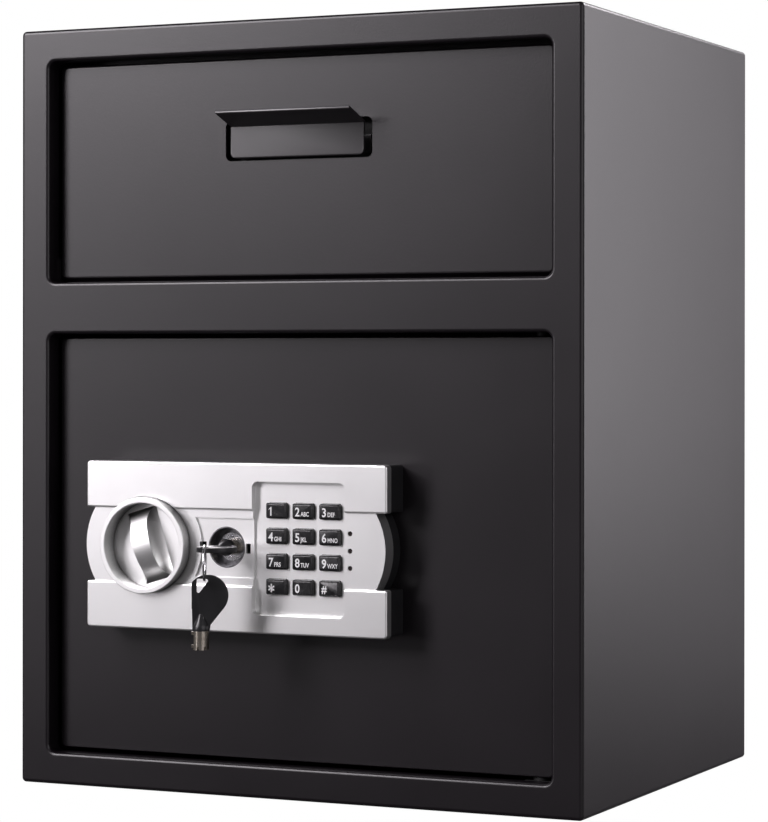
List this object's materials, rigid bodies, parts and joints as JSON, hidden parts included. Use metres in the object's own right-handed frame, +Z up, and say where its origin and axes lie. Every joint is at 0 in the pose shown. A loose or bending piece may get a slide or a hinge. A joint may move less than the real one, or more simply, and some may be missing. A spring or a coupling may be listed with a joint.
{
  "type": "drop safe with tilt-out deposit drawer",
  "caption": "Upright steel drop safe: tilt-out deposit drawer with bent pull above, door with turning knob, keypad and key lock driving two bolts below",
  "frame": {"origin": "centre of the cabinet's base, on its underside", "axes": "+X to the right seen from the front, +Y towards the back, +Z up"},
  "size_m": [0.4, 0.3737, 0.5],
  "materials": {
    "dark_paint": "fine-textured satin powder coat, anthracite",
    "zinc_steel": "zinc-plated, matt",
    "rubber": "matt black rubber",
    "black_plastic": "moulded, satin black",
    "silver_plastic": "bright silver lacquer on moulded plastic",
    "led_plastic": "dark tinted lens",
    "board": "green circuit board",
    "battery_wrap": "plain black battery wrap",
    "chrome": "polished nickel chrome",
    "cup_metal": "dark spun metal",
    "key_metal": "nickel-plated brass",
    "red_plastic": "moulded, satin red"
  },
  "bodies": {
    "cabinet": {"cabinet_wrap": "dark_paint", "front_frame": "dark_paint", "back_panel": "dark_paint", "deposit_baffle": "dark_paint", "chute_guard": "dark_paint", "guard_bumpers": "rubber", "drawer_brackets": "dark_paint", "bolt_keeper": "dark_paint", "door_hinge_blocks": "dark_paint"},
    "drawer": {"drawer_front": "dark_paint", "grip_plate": "dark_paint", "grip_pan": "dark_paint", "drawer_side_left": "dark_paint", "drawer_side_right": "dark_paint", "tray_floor": "dark_paint", "drawer_pivot_pins": "dark_paint"},
    "door": {"door_plate": "dark_paint", "door_hinge_lugs": "dark_paint", "door_hinge_pins": "dark_paint", "bolt_guide": "zinc_steel", "inner_cover": "dark_paint", "cover_screws": "zinc_steel", "lock_housing": "black_plastic", "lock_fascia": "silver_plastic", "led_lenses": "led_plastic", "keypad_mat": "rubber", "control_board": "board", "solenoid_body": "zinc_steel", "battery_box": "black_plastic", "batteries": "battery_wrap", "cylinder_body": "chrome", "cylinder_cup": "cup_metal", "cylinder_nut": "zinc_steel"},
    "turning_knob": {"knob": "silver_plastic", "knob_spindle": "zinc_steel"},
    "bolts": {"bolt_carriage": "zinc_steel", "locking_bolts": "zinc_steel"},
    "plunger": {"solenoid_plunger": "zinc_steel"},
    "lock_plug": {"cylinder_plug": "chrome", "lock_cam": "zinc_steel", "key_barrel": "key_metal", "key_head": "black_plastic"},
    "ring": {"key_ring": "chrome"},
    "spare_key": {"spare_key_head": "black_plastic", "spare_key_barrel": "key_metal"},
    "lid": {"battery_lid": "black_plastic"},
    "reset": {"reset_button": "red_plastic"},
    "pad_1": {"key_1": "black_plastic"},
    "pad_2": {"key_2": "black_plastic"},
    "pad_3": {"key_3": "black_plastic"},
    "pad_4": {"key_4": "black_plastic"},
    "pad_5": {"key_5": "black_plastic"},
    "pad_6": {"key_6": "black_plastic"},
    "pad_7": {"key_7": "black_plastic"},
    "pad_8": {"key_8": "black_plastic"},
    "pad_9": {"key_9": "black_plastic"},
    "pad_star": {"key_star": "black_plastic"},
    "pad_0": {"key_0": "black_plastic"},
    "pad_hash": {"key_hash": "black_plastic"}
  },
  "joints": [
    {"name": "drawer_tilt", "type": "hinge", "parent": "cabinet", "child": "drawer", "pos_m": [0, -0.14, 0.341], "axis": [1, 0, 0], "range_deg": [0, 42]},
    {"name": "door_swing", "type": "hinge", "parent": "cabinet", "child": "door", "pos_m": [0.166, -0.14, 0.16], "axis": [0, 0, 1], "range_deg": [0, 100]},
    {"name": "knob_turn", "type": "hinge", "parent": "door", "child": "turning_knob", "pos_m": [-0.097, -0.15, 0.1613], "axis": [0, -1, 0], "range_deg": [0, 90]},
    {"name": "bolt_slide", "type": "slide", "parent": "door", "child": "bolts", "axis": [-1, 0, 0], "range_m": [0, 0.016]},
    {"name": "plunger_slide", "type": "slide", "parent": "door", "child": "plunger", "axis": [0, 0, 1], "range_m": [0, 0.006]},
    {"name": "key_turn", "type": "hinge", "parent": "door", "child": "lock_plug", "pos_m": [-0.0401, -0.165, 0.1613], "axis": [0, 1, 0], "range_deg": [0, 90]},
    {"name": "ring_swing", "type": "hinge", "parent": "lock_plug", "child": "ring", "pos_m": [-0.0382, -0.2031, 0.16405], "axis": [0.4226, -0.9063, 0], "range_deg": [-3, 8]},
    {"name": "spare_swing", "type": "hinge", "parent": "ring", "child": "spare_key", "pos_m": [-0.0382, -0.2031, 0.14245], "axis": [0.4226, -0.9063, 0], "range_deg": [-25, 25]},
    {"name": "lid_slide", "type": "slide", "parent": "door", "child": "lid", "axis": [1, 0, 0], "range_m": [0, 0.015]},
    {"name": "reset_press", "type": "slide", "parent": "door", "child": "reset", "axis": [0, -1, 0], "range_m": [0, 0.0015], "stiffness_N_per_m": 150},
    {"name": "press_1", "type": "slide", "parent": "door", "child": "pad_1", "axis": [0, 1, 0], "range_m": [0, 0.0012], "stiffness_N_per_m": 150},
    {"name": "press_2", "type": "slide", "parent": "door", "child": "pad_2", "axis": [0, 1, 0], "range_m": [0, 0.0012], "stiffness_N_per_m": 150},
    {"name": "press_3", "type": "slide", "parent": "door", "child": "pad_3", "axis": [0, 1, 0], "range_m": [0, 0.0012], "stiffness_N_per_m": 150},
    {"name": "press_4", "type": "slide", "parent": "door", "child": "pad_4", "axis": [0, 1, 0], "range_m": [0, 0.0012], "stiffness_N_per_m": 150},
    {"name": "press_5", "type": "slide", "parent": "door", "child": "pad_5", "axis": [0, 1, 0], "range_m": [0, 0.0012], "stiffness_N_per_m": 150},
    {"name": "press_6", "type": "slide", "parent": "door", "child": "pad_6", "axis": [0, 1, 0], "range_m": [0, 0.0012], "stiffness_N_per_m": 150},
    {"name": "press_7", "type": "slide", "parent": "door", "child": "pad_7", "axis": [0, 1, 0], "range_m": [0, 0.0012], "stiffness_N_per_m": 150},
    {"name": "press_8", "type": "slide", "parent": "door", "child": "pad_8", "axis": [0, 1, 0], "range_m": [0, 0.0012], "stiffness_N_per_m": 150},
    {"name": "press_9", "type": "slide", "parent": "door", "child": "pad_9", "axis": [0, 1, 0], "range_m": [0, 0.0012], "stiffness_N_per_m": 150},
    {"name": "press_star", "type": "slide", "parent": "door", "child": "pad_star", "axis": [0, 1, 0], "range_m": [0, 0.0012], "stiffness_N_per_m": 150},
    {"name": "press_0", "type": "slide", "parent": "door", "child": "pad_0", "axis": [0, 1, 0], "range_m": [0, 0.0012], "stiffness_N_per_m": 150},
    {"name": "press_hash", "type": "slide", "parent": "door", "child": "pad_hash", "axis": [0, 1, 0], "range_m": [0, 0.0012], "stiffness_N_per_m": 150}
  ],
  "couplings": [
    {"joint": "knob_turn", "follows": "bolt_slide", "rad_per_m": 98.17}
  ]
}
